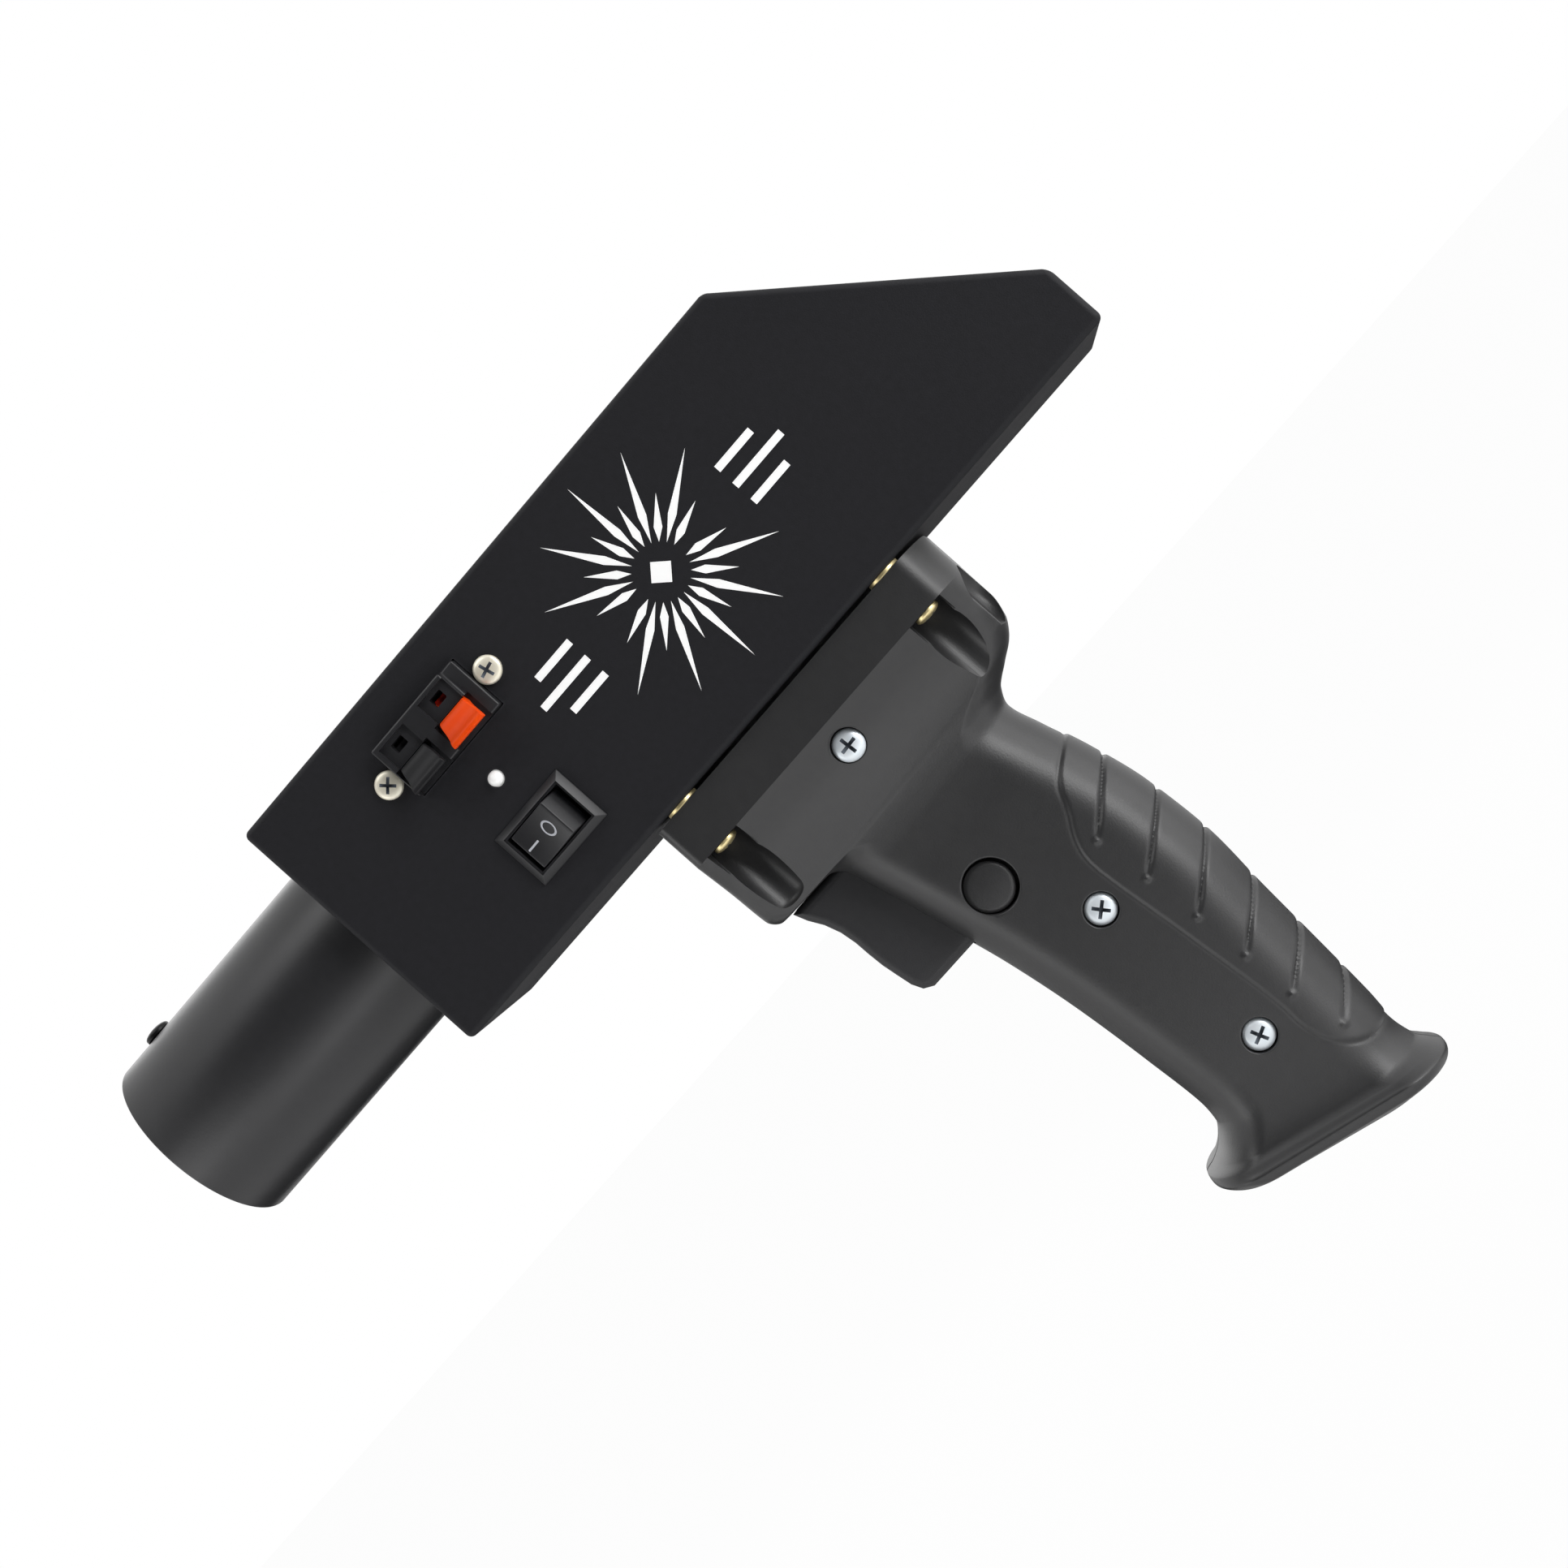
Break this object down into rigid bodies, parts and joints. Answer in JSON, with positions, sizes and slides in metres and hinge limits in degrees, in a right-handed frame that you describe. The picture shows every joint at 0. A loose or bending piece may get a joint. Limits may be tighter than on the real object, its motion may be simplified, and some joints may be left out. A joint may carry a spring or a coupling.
{
  "type": "hand-held cold spark machine",
  "caption": "Pistol-shaped cold spark machine: black sheet body, front barrel for a spark cartridge, push terminals and rocker switch on the side, pistol grip with trigger.",
  "frame": {"origin": "centre of the flat cartridge seat inside the barrel, on the barrel's axis and in the plane of the body's front wall", "axes": "-X along the barrel and out of its muzzle, -Z down along the pistol grip, -Y out of the side with the terminals and the switch"},
  "size_m": [0.278, 0.0682, 0.2353],
  "materials": {
    "powder_coat": "black fine-texture powder coat on folded sheet steel",
    "barrel_black": "satin black coated tube",
    "sleeve_aluminium": "plain turned aluminium",
    "grip_plastic": "dark grey moulded nylon with a fine grain",
    "trigger_plastic": "dark grey moulded plastic",
    "black_plastic": "black moulded plastic",
    "red_plastic": "orange red moulded plastic",
    "white_lens": "clear white epoxy lamp",
    "nickel": "bright nickel plate",
    "zinc": "blue zinc plate",
    "yellow_zinc": "yellow zinc plate",
    "black_screw": "black oxide",
    "brass": "plain brass strip",
    "spring_steel": "bright spring wire",
    "board_green": "green circuit board",
    "cell_wrap": "blue shrink wrap",
    "wire_red": "red wire insulation"
  },
  "bodies": {
    "body": {"body_shell": "powder_coat", "side_cover": "powder_coat", "cover_screw_top_front": "black_screw", "cover_screw_top_rear": "black_screw", "cover_screw_bottom_front": "black_screw", "cover_screw_bottom_middle": "black_screw", "cover_screw_bottom_rear": "black_screw", "cover_screw_slope": "black_screw", "barrel_tube": "barrel_black", "barrel_flange_screw_1": "black_screw", "barrel_flange_screw_2": "black_screw", "barrel_flange_screw_3": "black_screw", "barrel_flange_screw_4": "black_screw", "cartridge_sleeve": "sleeve_aluminium", "sleeve_screw": "black_screw", "terminal_base": "black_plastic", "red_contact": "nickel", "black_contact": "nickel", "terminal_screw_front": "nickel", "terminal_screw_rear": "nickel", "terminal_nut_front": "nickel", "terminal_nut_rear": "nickel", "indicator_led": "white_lens", "switch_housing": "black_plastic", "switch_tab_front": "brass", "switch_tab_rear": "brass", "grip_left": "grip_plastic", "grip_right": "grip_plastic", "grip_screw_top": "zinc", "grip_screw_middle": "zinc", "grip_screw_lower": "zinc", "mount_screw_front_left": "yellow_zinc", "mount_screw_front_right": "yellow_zinc", "mount_screw_rear_left": "yellow_zinc", "mount_screw_rear_right": "yellow_zinc", "mount_washer_front_left": "yellow_zinc", "mount_washer_front_right": "yellow_zinc", "mount_washer_rear_left": "yellow_zinc", "mount_washer_rear_right": "yellow_zinc", "mount_nut_front_left": "yellow_zinc", "mount_nut_front_right": "yellow_zinc", "mount_nut_rear_left": "yellow_zinc", "mount_nut_rear_right": "yellow_zinc", "trigger_switch": "black_plastic", "trigger_spring": "spring_steel", "lock_spring": "spring_steel", "battery_holder": "black_plastic", "battery_cell_1": "cell_wrap", "battery_cell_2": "cell_wrap", "circuit_board": "board_green", "trigger_loom": "wire_red", "battery_loom": "wire_red"},
    "trigger": {"trigger": "trigger_plastic"},
    "lock_button": {"lock_button": "trigger_plastic"},
    "rocker": {"rocker": "black_plastic"},
    "red_lever": {"red_lever": "red_plastic"},
    "black_lever": {"black_lever": "black_plastic"}
  },
  "joints": [
    {"name": "trigger_pull", "type": "slide", "parent": "body", "child": "trigger", "axis": [1, 0, 0], "range_m": [0, 0.0065], "stiffness_N_per_m": 800, "springref_m": -0.003, "deforming": ["trigger_spring"]},
    {"name": "lock_press", "type": "slide", "parent": "body", "child": "lock_button", "axis": [0, 1, 0], "range_m": [0, 0.0025], "stiffness_N_per_m": 600, "springref_m": -0.0015, "deforming": ["lock_spring"]},
    {"name": "rocker_tilt", "type": "hinge", "parent": "body", "child": "rocker", "pos_m": [0.048, -0.0254, -0.0165], "axis": [0, 0, 1], "range_deg": [0, 28]},
    {"name": "red_lever_press", "type": "hinge", "parent": "body", "child": "red_lever", "pos_m": [0.0534, -0.0326, 0.015], "axis": [1, 0, 0], "range_deg": [0, 15], "stiffness_Nm_per_rad": 0.05, "springref_deg": -11.46},
    {"name": "black_lever_press", "type": "hinge", "parent": "body", "child": "black_lever", "pos_m": [0.0402, -0.0326, 0.015], "axis": [1, 0, 0], "range_deg": [0, 15], "stiffness_Nm_per_rad": 0.05, "springref_deg": -11.46}
  ]
}
